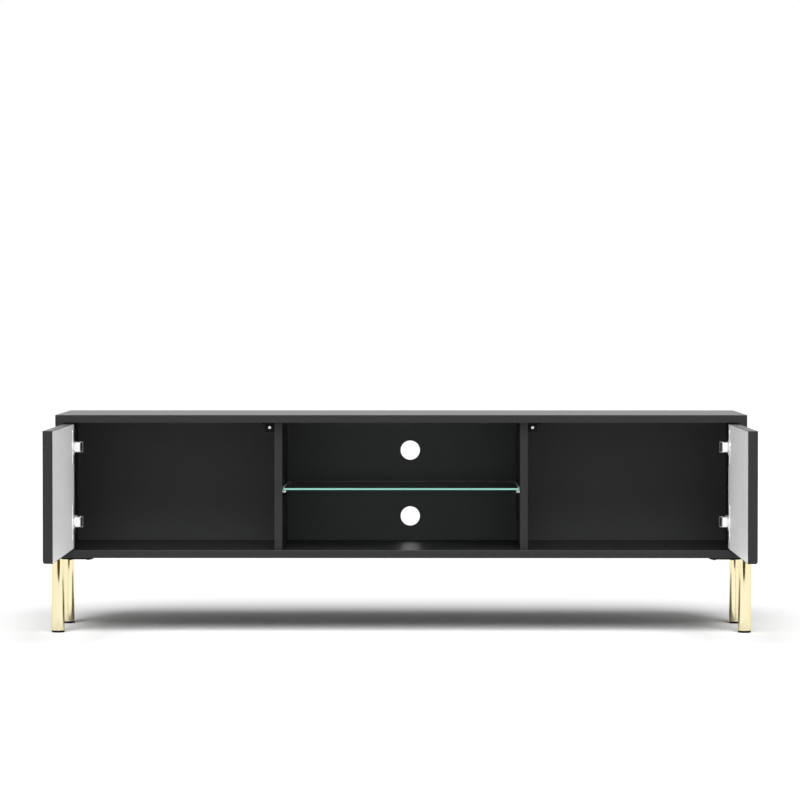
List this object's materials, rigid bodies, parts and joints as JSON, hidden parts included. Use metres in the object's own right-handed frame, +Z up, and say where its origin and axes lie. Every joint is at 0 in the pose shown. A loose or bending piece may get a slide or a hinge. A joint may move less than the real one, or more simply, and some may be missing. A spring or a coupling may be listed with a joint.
{
  "type": "media cabinet",
  "caption": "Long low media cabinet on round legs, with hinged inset doors at both ends, an open middle bay with a glass shelf and cable holes in the back.",
  "frame": {"origin": "floor level, midway between the open doors' free edges and the back, on the middle of the width", "axes": "+X to the right seen from the front, +Y from the front to the back, +Z up"},
  "size_m": [1.432, 0.7514, 0.445],
  "materials": {
    "black_board": "satin",
    "black_back": "matte",
    "white_laminate": "satin",
    "shelf_glass": "polished",
    "gold_tube": "polished",
    "black_steel": "satin",
    "black_plastic": "matte",
    "white_plastic": "satin",
    "hinge_steel": "satin",
    "screw_steel": "satin",
    "zinc_cast": "matte",
    "beech": "matte"
  },
  "bodies": {
    "cabinet": {"back_panel": "black_back", "back_screws": "screw_steel", "bottom_panel": "black_board", "cam_bolts": "screw_steel", "cam_locks": "zinc_cast", "dowels": "beech", "front_left_foot": "black_plastic", "front_left_leg": "gold_tube", "front_left_leg_plate": "black_steel", "front_right_foot": "black_plastic", "front_right_leg": "gold_tube", "front_right_leg_plate": "black_steel", "glass_shelf": "shelf_glass", "hinge_base_screws": "screw_steel", "hinge_set_screws": "screw_steel", "latch_screws": "screw_steel", "left_divider": "black_board", "left_latch_housing": "black_plastic", "left_lower_hinge_arm": "hinge_steel", "left_lower_hinge_base": "hinge_steel", "left_side_panel": "black_board", "left_upper_hinge_arm": "hinge_steel", "left_upper_hinge_base": "hinge_steel", "leg_screws": "screw_steel", "rear_left_foot": "black_plastic", "rear_left_leg": "gold_tube", "rear_left_leg_plate": "black_steel", "rear_right_foot": "black_plastic", "rear_right_leg": "gold_tube", "rear_right_leg_plate": "black_steel", "right_divider": "black_board", "right_latch_housing": "black_plastic", "right_lower_hinge_arm": "hinge_steel", "right_lower_hinge_base": "hinge_steel", "right_side_panel": "black_board", "right_upper_hinge_arm": "hinge_steel", "right_upper_hinge_base": "hinge_steel", "shelf_pads": "white_plastic", "shelf_pins": "screw_steel", "top_panel": "black_board"},
    "left_door": {"left_door_panel": "black_board", "left_door_lining": "white_laminate", "left_lower_hinge_cup": "hinge_steel", "left_upper_hinge_cup": "hinge_steel", "left_cup_screws": "screw_steel", "left_hinge_pins": "screw_steel"},
    "right_door": {"right_door_panel": "black_board", "right_door_lining": "white_laminate", "right_lower_hinge_cup": "hinge_steel", "right_upper_hinge_cup": "hinge_steel", "right_cup_screws": "screw_steel", "right_hinge_pins": "screw_steel"},
    "left_plunger": {"left_latch_plunger": "white_plastic"},
    "right_plunger": {"right_latch_plunger": "white_plastic"}
  },
  "joints": [
    {"name": "left_door_swing", "type": "hinge", "parent": "cabinet", "child": "left_door", "pos_m": [-0.6723, 0.0542, 0.3], "axis": [0, 0, 1], "range_deg": [0, 90]},
    {"name": "right_door_swing", "type": "hinge", "parent": "cabinet", "child": "right_door", "pos_m": [0.6723, 0.0542, 0.3], "axis": [0, 0, -1], "range_deg": [0, 90]},
    {"name": "left_latch_press", "type": "slide", "parent": "cabinet", "child": "left_plunger", "axis": [0, 1, 0], "range_m": [0, 0.004], "stiffness_N_per_m": 500},
    {"name": "right_latch_press", "type": "slide", "parent": "cabinet", "child": "right_plunger", "axis": [0, 1, 0], "range_m": [0, 0.004], "stiffness_N_per_m": 500}
  ]
}
